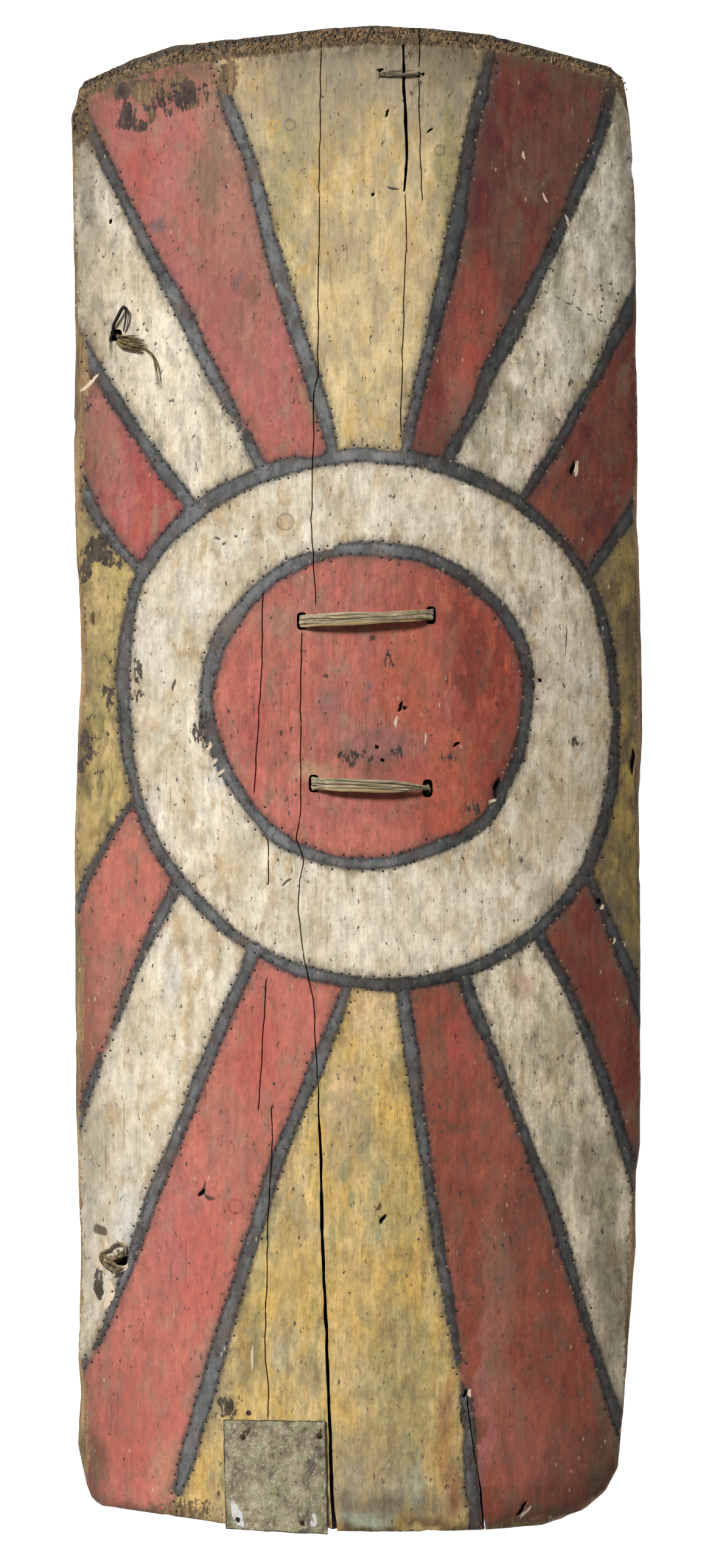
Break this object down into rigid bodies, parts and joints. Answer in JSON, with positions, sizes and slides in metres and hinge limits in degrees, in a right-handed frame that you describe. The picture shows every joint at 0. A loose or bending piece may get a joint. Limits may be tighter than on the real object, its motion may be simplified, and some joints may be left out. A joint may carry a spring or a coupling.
{
  "type": "tribal war shield",
  "caption": "Tall hewn-wood war shield, bowed across its width, painted with a sunburst round a ringed disc, with two split-cane loops behind for the arm and hand.",
  "frame": {"origin": "on the ground under the middle of the shield, which lies face up on its two long edges", "axes": "+X to the right seen from above with the top end away, +Y towards the top end, +Z out of the painted face"},
  "size_m": [0.5339, 1.3997, 0.0789],
  "materials": {
    "painted_wood": "matt earth paint, red, cream, ochre and charcoal, worn, on hewn wood",
    "cane": "split cane, greyed and dry",
    "weathered_sheet": "thin sheet, dull, stained and paint-smeared",
    "iron": "rusted iron",
    "fibre": "frayed plant fibre"
  },
  "bodies": {
    "root": {"shield_board": "painted_wood", "cane_loop_upper": "cane", "cane_loop_lower": "cane", "crack_stitch": "cane", "repair_patch": "weathered_sheet", "patch_nail_1": "iron", "patch_nail_2": "iron", "patch_nail_3": "iron", "patch_nail_4": "iron", "board_nail": "iron", "fibre_tie_upper": "fibre", "fibre_tie_lower": "fibre"}
  },
  "joints": []
}
